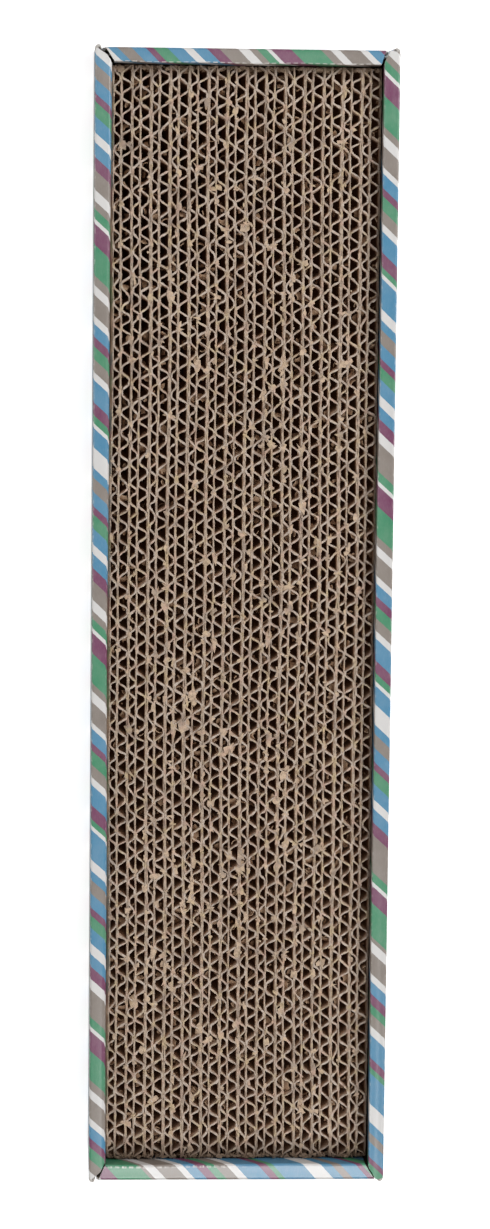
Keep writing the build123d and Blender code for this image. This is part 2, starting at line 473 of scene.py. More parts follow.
def makeBoardInside():
    material, tree, shader = newMaterial("boardInside")
    grain = grainIn(tree)[1]
    light, dark = boardLook["inside"]
    face = mixNode(tree, grain["Fibre"], dark, light)
    colour = mixNode(tree, timesNode(tree, grain["Fleck"], boardLook["insideFlecks"]), face, dark)
    roughness = rangeNode(tree, grain["Cloud"], 0.2, 0.8, *boardLook["insideRoughness"])
    feed(tree, shader, {"Base Color": colour, "Roughness": roughness})
    addBump(tree, shader, grain["Height"], *boardLook["insideBump"])
    return material


def makeBoardEdge():
    # a cut through the board: pale liners with small dark flutes between them
    material, tree, shader = newMaterial("boardEdge")
    place, grain = grainIn(tree)
    pale, dark = boardLook["edge"]
    scale = boardLook["waveBand"] / boardLook["edgeFlutePitch"]
    wave = {"Vector": place, "Scale": scale, "Distortion": 3.0, "Detail": 2.0}
    flutes = addNode(tree, "ShaderNodeTexWave", wave, bands_direction="DIAGONAL").outputs["Fac"]
    shade = timesNode(tree, rangeNode(tree, flutes, 0.3, 0.8, 0, boardLook["edgeFlutes"]), grain["Cloud"])
    colour = mixNode(tree, shade, mixNode(tree, grain["Fibre"], dark, pale), dark)
    roughness = rangeNode(tree, grain["Fibre"], 0.2, 0.8, *boardLook["edgeRoughness"])
    feed(tree, shader, {"Base Color": colour, "Roughness": roughness})
    addBump(tree, shader, grain["Height"], *boardLook["edgeBump"])
    return material


# Tray: folded from flat board, panel by panel
board = {
    "thickness": 1.45 * mm,
    "creaseRadius": 1.0 * mm,
    "crushed": 0.5,  # share of its thickness that the board keeps at a crease
    "crushedRun": (1.0 * mm, 2.4 * mm),  # from the crease, where that share starts to grow and is whole
    "creaseSteps": 5,
    "panelCuts": 7,
    "leastPanel": 4 * mm,  # a narrower one isn't cut
    "sideCuts": 120,
    "endCuts": 48,
    "border": 1.7 * mm,  # of the base, turned up with each wall
    "cornerStart": 236.5 * mm,
    "rimEnd": 237.3 * mm,  # of a side rim, along its outer edge
    "rimStep": (0.8 * mm, 0.3 * mm),  # below and past the crease, where the wall steps out to that
    "innerEase": 2 * mm,  # below a side rim, until the inner panel has its full run
    "notchStep": 0.4 * mm,
    "cornerRoom": (2 * mm, 3 * mm, 2 * mm),  # of an end wall: at the base, at its crease, and the run of that
    "bellyDepth": 12 * mm,
    "wander": (0.12, 9),  # of the rim's inner edge: size in mm and turns
    "dipWander": (0.5, 6),
    "slotRoom": (2 * mm, 0.3 * mm, 2 * mm),  # of a tab in its slot: inside, outside and at its ends
    "sideTab": 50 * mm,
    "endTab": 30 * mm,
    "sideTabFace": 59.55 * mm,
    "tabEnd": 0.3 * mm,
}
rimX = outX - inX
rimY = outY - inY
creaseLines = {
    "sideOuter": outX + trayHeight,
    "sideInner": outX + trayHeight + rimX,
    "endOuter": outY + trayHeight,
    "endInner": outY + trayHeight + rimY,
}

kraftLiner = makeKraft("kraftLiner", kraftLook["liner"])
kraftMedium = makeKraft("kraftMedium", kraftLook["medium"])
tornPaper = makeKraft("tornPaper", kraftLook["torn"])
printedBoard = makePrintedBoard()
boardInside = makeBoardInside()
boardEdge = makeBoardEdge()
print("materials ready")


def foldAlong(piece, path, radii):
    # in edit mode: carries the first panel on along its path (X, Z), and rounds the creases
    section = Vector((1, 0, 1))

    def selectCrease(x, z):
        crease = Vector((x, 0, z))
        selectEdges(piece, lambda a, b: all((end * section - crease).length < touching for end in (a, b)))

    for (fromX, fromZ), (toX, toZ) in zip(path[1:-1], path[2:]):
        selectCrease(fromX, fromZ)
        bpy.ops.mesh.extrude_region_move(TRANSFORM_OT_translate={"value": (toX - fromX, 0, toZ - fromZ)})
    for (creaseX, creaseZ), radius in zip(path[1:-1], radii):
        selectCrease(creaseX, creaseZ)
        bpy.ops.mesh.bevel(offset=radius, segments=board["creaseSteps"], affect="EDGES")


def foldWall(name, path, halfRun, radii, runCuts, levels):
    # path: corners of the fold in its section (local X, Z); the board runs along local Y
    # levels: heights of further cuts all round
    wall = addPlane(name)
    (startX, startZ), (firstX, firstZ) = path[0], path[1]
    bpy.ops.transform.resize(value=(firstX - startX, 2 * halfRun, 1))
    bpy.ops.transform.translate(value=((startX + firstX) / 2, 0, startZ))
    foldAlong(wall, path, radii)
    selectEdges(wall, lambda a, b: abs(a.y - b.y) < touching and (a - b).length > board["leastPanel"])
    bpy.ops.mesh.subdivide(number_cuts=board["panelCuts"])
    for level in levels:
        bpy.ops.mesh.select_all(action="SELECT")
        bpy.ops.mesh.bisect(plane_co=(0, 0, level), plane_no=(0, 0, 1))
    selectEdges(wall, lambda a, b: abs(a.y - b.y) > touching)
    bpy.ops.mesh.subdivide(number_cuts=runCuts)
    setMode(wall, "OBJECT")
    return wall


def lengthAlong(path, places):
    # how far round the fold each point lies, from the path's start
    best = np.full(len(places), 1e9)
    found = np.zeros(len(places))
    done = 0.0
    for start, end in zip(path[:-1], path[1:]):
        start, end = np.array(start), np.array(end)
        run = np.linalg.norm(end - start)
        share = np.clip((places[:, [0, 2]] - start) @ (end - start) / run ** 2, 0, 1)
        gap = np.linalg.norm(places[:, [0, 2]] - start - share[:, None] * (end - start), axis=1)
        nearer = gap < best - 1e-9
        best[nearer] = gap[nearer]
        found[nearer] = done + share[nearer] * run
        done += run
    return found


def layPrint(piece, flatX, flatY):
    layer = piece.data.uv_layers.new(name="print")
    corners = np.empty(len(piece.data.loops), int)
    piece.data.loops.foreach_get("vertex_index", corners)
    layer.data.foreach_set("uv", np.column_stack([flatX, flatY])[corners].ravel())


def finishBoard(piece, node, fromCrease=None):
    for material in (printedBoard, boardInside, boardEdge):
        piece.data.materials.append(material)
    group = piece.vertex_groups.new(name="thickness")
    if fromCrease is None:
        fromCrease = np.ones(len(piece.data.vertices))
    shares = np.interp(fromCrease, board["crushedRun"], (board["crushed"], 1.0))
    for share in np.unique(shares.round(2)):
        group.add(np.flatnonzero(shares.round(2) == share).tolist(), float(share), "REPLACE")
    addAndApply(piece, "SOLIDIFY", thickness=board["thickness"], offset=-1.0, use_even_offset=True,
                material_offset=1, material_offset_rim=2, vertex_group="thickness")
    piece.vertex_groups.clear()
    smoothPiece(piece, 40)
    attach(piece, "tray")
    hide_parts(node)


wallLook = {
    # in mm; each pair or row runs from the head to the foot, or on an end wall from right to left
    # lean: how far the rim's inner edge comes into the tray at its ends and its middle
    # jut: how far its outer edge stands out of the tray at its ends
    # belly: how far the inner panel swells into the tray a little below the rim
    # slide, tuck: how far the whole wall stands in from its place, and its foot more than its rim
    # mitres: of a side wall's rim at its head and foot, how far in from its outer edge the mitre comes out,
    # and how far along it starts at the inner edge
    # ends: where an end wall's outer panel stops, and its rim at the outer and the inner edge
    # notch: how far below the rim the outer panel's full run starts
    # tilt: how much lower the rim's outer edge lies than its inner one
    # dip: how far the rim sags between its creases
    # fold: radius of its inner crease
    "rightWall": {
        "node": "right_wall", "turn": 0, "lean": (-0.15, 0.15, -0.15), "jut": (0.43, 0.5), "shift": -0.4,
        "bow": 0.35, "belly": 0.45, "slide": 0, "tuck": 0, "tilt": 0, "dip": 0.25, "fold": 0.7,
        "mitres": {"head": (3.9, 233.2), "foot": (3.05, 233.0)},
    },
    "leftWall": {
        "node": "left_wall", "turn": 180, "lean": (0.85, 0.4, 0.95), "jut": (0, 0), "shift": 0.0,
        "bow": 0, "belly": 0, "slide": 0.75, "tuck": 0.3, "tilt": 0, "dip": 0.25, "fold": 2.0,
        "mitres": {"head": (2.4, 231.7), "foot": (2.8, 229.7)},
    },
    "headWall": {
        "node": "head_wall", "turn": 90, "lean": (-0.4, -0.2, -0.4), "jut": (0, 0), "shift": -0.9,
        "bow": 0.3, "belly": 0.55, "slide": 0, "tuck": 0, "tilt": 0, "dip": 0.08, "fold": 0.7, "notch": 8.0,
        "ends": {"left": (59.0, 58.0, 54.2), "right": (59.0, 57.5, 55.6)},
    },
    "footWall": {
        "node": "foot_wall", "turn": -90, "lean": (-0.1, 0.1, -0.1), "jut": (0.8, 0.5), "shift": 0.0,
        "bow": 0.3, "belly": 0.4, "slide": 0, "tuck": 0, "tilt": 0.5, "dip": 0.04, "fold": 0.7, "notch": 1.2,
        "ends": {"left": (59.0, 58.2, 55.3), "right": (59.8, 59.8, 55.5)},
    },
}
endStretch = 1.03  # of the print along the end walls


def sideReaches(look, top):
    # how far along either end of a side wall reaches, round its fold
    onLeft = look["turn"] == 180
    start = board["cornerStart"]
    below, past = board["rimStep"]
    reaches = []
    for end in ("foot", "head") if onLeft else ("head", "foot"):
        comesOut, inner = look["mitres"][end]
        further = wallLook[end + "Wall"]["jut"][onLeft] * mm
        knots = (0, top - below, top + past, top + comesOut * mm, top + rimX, top + rimX + board["innerEase"],
                 top + rimX + trayHeight)
        rimEnd, mitreEnd = board["rimEnd"] + further, outY + further
        reaches.append((knots, (start, start, rimEnd, mitreEnd, inner * mm, inY, inY)))
    return reaches


def endReaches(look, top):
    # the same for an end wall
    border, step = board["border"], board["notchStep"]
    notch = top - look["notch"] * mm
    atBase, atCrease, run = board["cornerRoom"]
    knots = (0, border, border + run, notch - step, notch, top, top + rimY, top + rimY + trayHeight)
    reaches = []
    for side in ("left", "right") if look["turn"] > 0 else ("right", "left"):
        panel, outer, inner = np.array(look["ends"][side]) * mm
        reaches.append((knots, (outX - atBase, outX - atCrease, panel, panel, outer, outer, inner, inner)))
    return reaches


def shapeWall(look, places, length, run, out, rim, foot):
    top = board["border"] + trayHeight
    inside, outer = length > top + rim, length < top
    overRim = np.clip((length - top) / rim, 0, 1)
    # inner panel leans to its tab, and the rim's inner edge wanders a little
    drop = np.clip((trayHeight - places[:, 2]) / (trayHeight - floorLevel), 0, 1)
    places[inside, 0] += drop[inside] * (foot - (out - rim))
    toFoot = run if look["turn"] in (180, 90) else -run
    size, turns = board["wander"]
    wander = np.interp(toFoot, (-1, 0, 1), look["lean"]) + size * np.sin(turns * run + look["turn"])
    places[:, 0] -= wander * (overRim * (1 - drop * inside)) * mm
    below = np.clip((trayHeight - places[:, 2]) / board["bellyDepth"], 0, 1)
    places[inside, 0] -= (look["belly"] * mm * np.sin(math.pi * below) * (1 - 0.5 * run ** 2))[inside]
    # outer panel bows out a touch between its creases
    height = np.clip(places[:, 2] / trayHeight, 0, 1)
    bow = look["bow"] * np.sin(math.pi * height) * (1 - run ** 2) * mm
    places[outer, 0] += bow[outer]
    pastBorder = np.clip(length / board["border"], 0, 1)
    places[:, 0] -= look["slide"] * mm * pastBorder
    places[outer, 0] -= (look["tuck"] * mm * (1 - height) * pastBorder)[outer]
    # rim juts, tilts and sags
    outward = np.where(outer, height, 1 - overRim)
    places[:, 0] += np.interp(toFoot, (-1, 1), look["jut"]) * mm * outward
    places[:, 2] -= look["tilt"] * mm * outward
    size, turns = board["dipWander"]
    places[:, 2] -= look["dip"] * mm * np.sin(math.pi * overRim) * (1 + size * np.sin(turns * run))


def makeWall(name, look):
    isSide = look["turn"] in (0, 180)
    out, rim = (outX, rimX) if isSide else (outY, rimY)
    foot = board["sideTabFace"] if isSide else inY
    tab = board["sideTab"] if isSide else board["endTab"]
    border = board["border"]
    top = border + trayHeight
    path = [(out - border, 0), (out, 0), (out, trayHeight), (out - rim, trayHeight), (out - rim, floorLevel)]
    halfRun = board["cornerStart"] if isSide else endRimX
    radii = (board["creaseRadius"], board["creaseRadius"], look["fold"] * mm)
    levels = () if isSide else [trayHeight - look["notch"] * mm - step for step in (0, board["notchStep"])]
    wall = foldWall(name, path, halfRun, radii, board["sideCuts"] if isSide else board["endCuts"], levels)

    places = readPlaces(wall)
    length = lengthAlong(path, places)
    run = places[:, 1] / halfRun
    reaches = sideReaches(look, top) if isSide else endReaches(look, top)
    places[:, 1] = run * np.where(run > 0, *[np.interp(length, *reach) for reach in reaches])
    shapeWall(look, places, length, run, out, rim, foot)
    writePlaces(wall, places)

    wall.data.transform(Matrix.Rotation(math.radians(look["turn"]), 4, "Z"))
    wall.data.flip_normals()
    spots = readPlaces(wall)
    flat = length - border + out
    side = 1 if look["turn"] in (0, 90) else -1
    shift = look["shift"] * mm * math.sqrt(2)
    if isSide:
        layPrint(wall, side * flat, spots[:, 1] - shift)
    else:
        layPrint(wall, endStretch * spots[:, 0] + shift, side * flat)

    # tab under the inner panel
    turned = Matrix.Rotation(math.radians(-look["turn"]), 3, "Z")

    def onTab(a, b):
        ends = [turned @ a, turned @ b]
        return all(abs(end.y) < tab / 2 and end.z < floorLevel + 0.2 * mm and end.x < out - 2 * mm
                   for end in ends)

    setMode(wall, "EDIT")
    selectEdges(wall, onTab)
    bpy.ops.mesh.extrude_region_move(TRANSFORM_OT_translate={"value": (0, 0, board["tabEnd"] - floorLevel)})
    setMode(wall, "OBJECT")
    fromCrease = np.abs(length[:, None] - np.array([border, top, top + rim])).min(axis=1)
    added = len(wall.data.vertices) - len(length)
    finishBoard(wall, look["node"], np.append(fromCrease, np.ones(added)))


for wallName, wallSettings in wallLook.items():
    makeWall(wallName, wallSettings)
print("walls folded")


flapLook = {
    "bendRadius": 1.5 * mm,
    "stepStart": 2.2 * mm,
    "stepEnd": 3.4 * mm,
    "stepIn": 3.45 * mm,
    "stepRadius": 0.6 * mm,
    "fall": 9.0 * mm,  # of its top edge, behind the step
    "fallRun": (7.4 * mm, 9.0 * mm),
    "bendRun": (4.0 * mm, 5.0 * mm),  # where the full board of the bend thins to that of the pressed flap
    "top": flapHigh.z,
}


def makeFlap(name, node, sideX, sideY):
    # folded in plan: section X is the tray's X and section Z the tray's Y, and the run is upright
    bendFace = flapHigh.y
    start = board["cornerStart"]
    stepX = outX - flapLook["stepStart"]
    endX = outX - flapLook["stepEnd"]
    path = [(outX, start), (outX, bendFace), (stepX, bendFace), (endX, bendFace - flapLook["stepIn"]),
            (flapLow.x, bendFace - flapLook["stepIn"])]
    middle = (flapLook["top"] + floorLevel) / 2
    half = (flapLook["top"] - floorLevel) / 2
    flap = addPlane(name)
    bpy.ops.transform.resize(value=(bendFace - start, 2 * half, 1))
    bpy.ops.transform.rotate(value=-math.pi / 2, orient_axis="Y", center_override=(0, 0, 0))
    bpy.ops.transform.translate(value=(outX, 0, (start + bendFace) / 2))
    foldAlong(flap, path, (flapLook["bendRadius"], flapLook["stepRadius"], flapLook["stepRadius"]))
    setMode(flap, "OBJECT")
    places = readPlaces(flap)
    length = lengthAlong(path, places)
    fall = np.interp(length, flapLook["fallRun"], (0, flapLook["fall"]))
    upright = places[:, 1] + middle
    upright = upright - fall * (upright - floorLevel) / (flapLook["top"] - floorLevel)
    side = wallLook["rightWall" if sideX > 0 else "leftWall"]
    end = wallLook["headWall" if sideY > 0 else "footWall"]
    height = upright / trayHeight
    inward = (side["slide"] + side["tuck"] * (1 - height) - side["jut"][sideY < 0] * height) * mm
    pastBend = np.clip(length / (bendFace - start), 0, 1)
    further = end["jut"][sideX < 0] * mm * height * pastBend
    x, y = sideX * (places[:, 0] - inward), sideY * (places[:, 2] + further)
    writePlaces(flap, np.column_stack([x, y, upright]))
    layPrint(flap, sideX * (outX + upright), sideY * (start + length))
    setMode(flap, "EDIT")
    bpy.ops.mesh.select_all(action="SELECT")
    bpy.ops.mesh.normals_make_consistent(inside=False)
    setMode(flap, "OBJECT")
    normal = max(flap.data.polygons, key=lambda face: abs(face.center.x)).normal
    if normal.x * sideX < 0:
        flap.data.flip_normals()
    finishBoard(flap, node, np.interp(length, flapLook["bendRun"], (1, 0)))


for flapName, flapNode, flapX, flapY in (
    ("headRightFlap", "head_right_flap", 1, 1), ("headLeftFlap", "head_left_flap", -1, 1),
    ("footRightFlap", "foot_right_flap", 1, -1), ("footLeftFlap", "foot_left_flap", -1, -1),
):
    makeFlap(flapName, flapNode, flapX, flapY)
print("corner flaps folded")


def makeBase():
    halfX = outX - board["border"]
    halfY = outY - board["border"]
    base = addPlane("basePanel")
    bpy.ops.transform.resize(value=(2 * halfX, 2 * halfY, 1))
    inside, outside, atEnd = board["slotRoom"]
    sideSlot = (board["sideTabFace"] - inside, board["sideTabFace"] + board["thickness"] + outside)
    endSlot = (inY, inY + board["thickness"] + outside)
    sideRun = board["sideTab"] / 2 + atEnd
    endRun = board["endTab"] / 2 + atEnd
    cuts = [((place, 0, 0), (1, 0, 0)) for edge in (*sideSlot, endRun) for place in (-edge, edge)]
    cuts += [((0, place, 0), (0, 1, 0)) for edge in (*endSlot, sideRun) for place in (-edge, edge)]
    for place, normal in cuts:
        bpy.ops.mesh.select_all(action="SELECT")
        bpy.ops.mesh.bisect(plane_co=place, plane_no=normal)
    bpy.context.tool_settings.mesh_select_mode = (False, False, True)
    bpy.ops.mesh.select_all(action="DESELECT")
    mesh = bmesh.from_edit_mesh(base.data)
    for face in mesh.faces:
        x, y = map(abs, face.calc_center_median()[:2])
        inSide = sideSlot[0] < x < sideSlot[1] and y < sideRun
        inEnd = endSlot[0] < y < endSlot[1] and x < endRun
        face.select_set(inSide or inEnd)
    bmesh.update_edit_mesh(base.data)
    bpy.ops.mesh.delete(type="FACE")
    bpy.ops.mesh.select_all(action="SELECT")
    bpy.ops.mesh.flip_normals()
    setMode(base, "OBJECT")
    places = readPlaces(base)
    layPrint(base, places[:, 0], places[:, 1])
    finishBoard(base, "base_panel")


makeBase()
print("base cut")


# Pad: strips of double-wall board on edge, sheet by sheet
padLook = {
    "finePitch": 8.05 * mm,
    "coarsePitch": 8.75 * mm,
    "finePhase": 0.23,
    "coarsePhase": 0.37,
    "flutePoints": 12,
    "linerStep": 1.2 * mm,
    "depths": np.array([0, 0.45, 1.3, 3.5, 9.0, 42.0]) * mm,
    "flare": (0.85, 0.92, 1.0, 1.0, 0.9, 0.8),  # thickness at those depths, as a share of the most
    "flareSteps": 20,
    "ragged": (0.5, 1.25),  # of the thickness at the cut
    "spread": 1.1,  # of the thickness, by the burr
    "linerEdge": 0.55 * mm,
    "middleEdge": 0.76 * mm,
    "mediumEdge": 0.76 * mm,
    "edgeRange": (0.8, 1.15),  # of a liner's edge
    "steepness": 1.75,  # at 1 the flutes zigzag from tip to tip, and higher their tips lie flat on the liners
    "tipRound": 0.97,
    "fluteRoom": 0.3 * mm,
    # wanderings of a sheet near its cut: step and size, and the depth where they end
    "linerBend": (5 * mm, 0.07 * mm),
    "linerTop": (7 * mm, 0.12 * mm),
    "linerFade": 8 * mm,
    "mediumBend": (2.5 * mm, 0.07 * mm),
    "mediumTop": (4 * mm, 0.16 * mm),
    "mediumFade": 7 * mm,
    # of the flutes, in pitches: step and size
    "drift": (2.3, 0.065),
    "jitter": (0.55, 0.055),
    "crush": (1.1, 0.14),
    "mostCrush": 0.45,
    "shift": 0.5 * mm,  # the loose pad lies towards the right wall
    # sways: size, the runs along and across the pad that turn them, and where they start
    "sways": [(0.28 * mm, 46 * mm, 38 * mm, 0.0), (0.16 * mm, 19 * mm, -55 * mm, 1.3)],
    "leftLimit": -54.9 * mm,
    "rightLimit": 56.5 * mm,
    "topLimit": 0.3 * mm,  # above the solids' top
    "rightRoom": (0.94 * mm, 0.22 * mm),  # how far right the last strip may lie, at its left and right side
    "headSpread": 0.7 * mm,  # how far the sheets' ends splay towards the end walls
    "footSpread": 0.3 * mm,
    "endRagged": 0.6,  # in mm
    "firstEdge": 1.25 * mm,  # of the first sheet, which widens to the left below its cut
    "firstFlare": (0.3, 0.5, 0.9, 1.0, 0.9, 0.8),
    "firstInset": 0.5 * mm,
    "firstLimit": (-55.2, -55.7, -55.15),  # how far left it may reach at the head, middle and foot, in mm
    "headDrop": (0.7 * mm, 4 * mm),  # how far the cut edges sink at the pad's ends, and over what run
    "footDrop": (1.5 * mm, 5 * mm),
    "burr": 0.13 * mm,
    "burrDepth": 0.7 * mm,
    "seed": 41,
}
chance = np.random.default_rng(padLook["seed"])


def sway(x, y):
    # the slow waver that all the glued strips share
    waver = padLook["shift"]
    for size, along, across, start in padLook["sways"]:
        waver = waver + size * np.sin(y / along + x / across + start)
    return np.minimum(waver, np.interp(x, (lastLow.x, lastHigh.x), padLook["rightRoom"]))


def wanderAlong(y, step, size):
    # smooth seeded noise along a sheet
    knots = np.arange(y.min() - 2 * step, y.max() + 2 * step, step)
    values = chance.normal(0, size, len(knots))
    share = (y - knots[0]) / step
    index = np.clip(share.astype(int), 0, len(knots) - 2)
    ease = share - index
    ease = ease * ease * (3 - 2 * ease)
    return values[index] * (1 - ease) + values[index + 1] * ease


def standingSheet(name, columns):
    bpy.ops.object.select_all(action="DESELECT")
    rows = len(padLook["depths"]) - 1
    bpy.ops.mesh.primitive_grid_add(x_subdivisions=columns, y_subdivisions=rows, size=1)
    sheet = bpy.context.object
    sheet.name = name
    spots = readPlaces(sheet)
    row = np.rint((0.5 - spots[:, 1]) * rows).astype(int)
    return sheet, spots[:, 0] + 0.5, row


def thicken(sheet, row, edge, offset, flare):
    # thin paper, spread into a burr at the cut top edge
    flare = np.array(flare)[row] * chance.uniform(*padLook["ragged"], len(row)) ** (row < 2)
    steps = padLook["flareSteps"]
    levels = np.clip(np.rint(flare * steps), 1, steps).astype(int)
    group = sheet.vertex_groups.new(name="thickness")
    for level in np.unique(levels):
        group.add(np.flatnonzero(levels == level).tolist(), level / steps, "REPLACE")
    spread = edge * padLook["spread"]
    addAndApply(sheet, "SOLIDIFY", thickness=spread, offset=offset, vertex_group="thickness")
    sheet.vertex_groups.clear()
    places = readPlaces(sheet)
    burred = places[:, 2] > padTop - padLook["burrDepth"]
    count = int(burred.sum())
    places[burred, 2] += chance.normal(0, padLook["burr"], count)
    places[burred, 0] += chance.normal(0, 0.5 * padLook["burr"], count)
    places[burred, 1] += chance.normal(0, padLook["burr"], count)
    places[:, 2] = np.minimum(places[:, 2], padTop + padLook["topLimit"])
    places[:, 0] = np.minimum(places[:, 0], padLook["rightLimit"])
    writePlaces(sheet, places)


def endToEnd(share, low, high):
    foot = low - padLook["footSpread"] + chance.uniform(0, padLook["endRagged"]) * mm
    head = high + padLook["headSpread"] - chance.uniform(0, padLook["endRagged"]) * mm
    return foot + share * (head - foot)


def fadeDown(depth, end):
    # 1 at the cut, and 0 from this depth on
    return np.clip(1 - depth / end, 0, 1)


def endDrop(y, depth):
    (foot, footRun), (head, headRun) = padLook["footDrop"], padLook["headDrop"]
    foot = foot * np.clip(1 - (y + firstHigh.y) / footRun, 0, 1) ** 1.5
    head = head * np.clip(1 - (firstHigh.y - y) / headRun, 0, 1) ** 1.5
    return (foot + head) * fadeDown(depth, padLook["linerFade"])


def makeLiner(name, x, low, high):
    sheet, share, row = standingSheet(name, int((high - low) / padLook["linerStep"]))
    y = endToEnd(share, low, high)
    depth = padLook["depths"][row]
    topBend = wanderAlong(y, *padLook["linerBend"]) * fadeDown(depth, padLook["linerFade"])
    z = padTop - depth + wanderAlong(y, *padLook["linerTop"]) * (row == 0) - endDrop(y, depth)
    writePlaces(sheet, np.column_stack([x + sway(x, y) + topBend, y, z]))
    return sheet, row


def makeUsualLiner(name, x, low, high, edge, offset):
    sheet, row = makeLiner(name, x, low, high)
    thicken(sheet, row, edge * chance.uniform(*padLook["edgeRange"]), offset, padLook["flare"])
    return sheet


def makeFirstLiner(name, x, low, high):
    sheet, row = makeLiner(name, x + padLook["firstInset"], low, high)
    thicken(sheet, row, padLook["firstEdge"], -1.0, padLook["firstFlare"])
    places = readPlaces(sheet)
    limit = np.interp(places[:, 1], (low, 0, high), padLook["firstLimit"][::-1]) * mm
    places[:, 0] = np.maximum(places[:, 0], limit)
    writePlaces(sheet, places)
    return sheet


def makeMedium(name, node, pitch, phase, backLeft):
    low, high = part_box(node)
    sheet, share, row = standingSheet(name, int((high.y - low.y) / pitch * padLook["flutePoints"]))
    y = endToEnd(share, low.y, high.y)
    depth = padLook["depths"][row]
    nearTop = fadeDown(depth, padLook["mediumFade"])

    def pitchWander(key):
        step, size = padLook[key]
        return wanderAlong(y, step * pitch, size)

    turns = y / pitch + phase + pitchWander("drift") + pitchWander("jitter") * nearTop
    tip = padLook["tipRound"]
    zigzag = np.arcsin(tip * np.cos(2 * math.pi * turns)) / math.asin(tip)
    fold = np.clip(padLook["steepness"] * zigzag, -1, 1)
    crush = 1 - np.clip(pitchWander("crush"), 0, padLook["mostCrush"]) * nearTop
    reach = (high.x - low.x - padLook["fluteRoom"]) / 2 * fold * crush * (1 if backLeft else -1)
    x = (low.x + high.x) / 2 + reach
    x = x + sway(x, y) + wanderAlong(y, *padLook["mediumBend"]) * nearTop
    z = padTop - depth + wanderAlong(y, *padLook["mediumTop"]) * (row == 0) - endDrop(y, depth)
    writePlaces(sheet, np.column_stack([x, y, z]))
    thicken(sheet, row, padLook["mediumEdge"], 0.0, padLook["flare"])
    return sheet


def finishPaper(piece, node, material):
    piece.data.materials.append(material)
    smoothPiece(piece, 45)
    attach(piece, "pad")
    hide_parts(node)


for number in range(1, stripCount + 1):
    strip = f"strip_{number:02d}"
    linersLow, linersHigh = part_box(f"{strip}_liners")
    middleX = (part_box(f"{strip}_fine_flute")[1].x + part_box(f"{strip}_coarse_flute")[0].x) / 2
    ends = (linersLow.y, linersHigh.y)
    liners = joinPieces([
        makeFirstLiner("leftLiner", linersLow.x, *ends) if number == 1 else
        makeUsualLiner("leftLiner", linersLow.x, *ends, padLook["linerEdge"], 1.0),
        makeUsualLiner("middleLiner", middleX, *ends, padLook["middleEdge"], 0.0),
        makeUsualLiner("rightLiner", linersHigh.x, *ends, padLook["linerEdge"], -1.0),
    ], f"strip{number:02d}Liners")
    finishPaper(liners, f"{strip}_liners", kraftLiner)
    for ply, backLeft in (("fine", True), ("coarse", False)):
        name, node = f"strip{number:02d}{ply.title()}Flute", f"{strip}_{ply}_flute"
        phase = (number - 1) * padLook[f"{ply}Phase"]
        medium = makeMedium(name, node, padLook[f"{ply}Pitch"], phase, backLeft)
        finishPaper(medium, node, kraftMedium)
print("pad strips made")


# Torn paper: flakes that the saw smeared over the edges, and curls of flute left in some cells
# sizes and sinks in mm
flakeLook = {
    "count": 1300,
    "clusters": 40,
    "clusterFolds": (5, 100),
    "clusterSpread": (0.8, 2.5),  # in strips and in folds
    "folds": (2, 104),  # those that a flake may lie on, from the foot's end
    "scales": (0.9, 1.35),  # of a flake by itself, and of one in a cluster
    "endCount": 300,
    "corners": 9,
    "size": (0.4, 2.0),
    "stretch": (0.6, 1.7),
    "ragged": (0.2, 1.3),  # how far out its corners lie, as shares of its size
    "ruffle": 0.08 * mm,
    "astray": (0.3, 0.7),  # across and along, from its fold's tip
    "thickness": 0.25 * mm,
    "rise": 0.12 * mm,
    "droop": 0.2,
    "tilt": 0.3,
    "endSink": (0.7, 3.0),
    "endReach": (-0.4, 1.2),
    "endRagged": (0.4, 1.2),
    "endRuffle": 0.3 * mm,
    "endStretch": 0.6,
    "endLimits": (0.5 * mm, 0.6 * mm),  # how far past the pad's foot and head ends it may reach
    "sideRoom": 1 * mm,
}
curlLook = {
    "count": 1500,
    "endCount": 150,
    "length": (2.4, 4.6),
    "bend": 2.2,
    "height": 2.0 * mm,
    "lean": 2.6,
    "thickness": 0.32 * mm,
    "sink": (1.5, 7.0),
    "astray": 0.3,
    "ruffle": 0.1 * mm,
    "endSink": (1.2, 4.0),
    "endPlaces": (0.4 * mm, 0.2 * mm),  # in from the foot's and the head's end
    "endAstray": 0.4,
    "endLimit": 0.6 * mm,  # how far past those ends it may reach
}
endClear = 3 * mm  # from the pad's ends to torn paper that lies anywhere along it


def skewed(low, high):
    # nearer to its low end more often
    return low + (high - low) * chance.random() ** 1.8


def copyPiece(first):
    copy = first.copy()
    copy.data = first.data.copy()
    bpy.context.collection.objects.link(copy)
    return copy


def finishTorn(pieces, name, first, thickness):
    bpy.data.objects.remove(first)
    piece = joinPieces(pieces, name)
    addAndApply(piece, "SOLIDIFY", thickness=thickness, offset=0.0)
    places = readPlaces(piece)
    places[:, 0] = np.clip(places[:, 0], padLook["leftLimit"], padLook["rightLimit"])
    writePlaces(piece, places)
    piece.data.materials.append(tornPaper)
    smoothPiece(piece, 60)
    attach(piece, "pad")


def fluteTip(number, ply, fold):
    # where a flute's fold, counted from the foot's end, lies on its liner
    low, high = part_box(f"strip_{number:02d}_{ply}_flute")
    pitch, start = padLook[f"{ply}Pitch"], (number - 1) * padLook[f"{ply}Phase"]
    fold += math.ceil(2 * (low.y / pitch + start))
    onRight = (fold % 2 == 0) == (ply == "fine")
    return high.x if onRight else low.x, (fold / 2 - start) * pitch


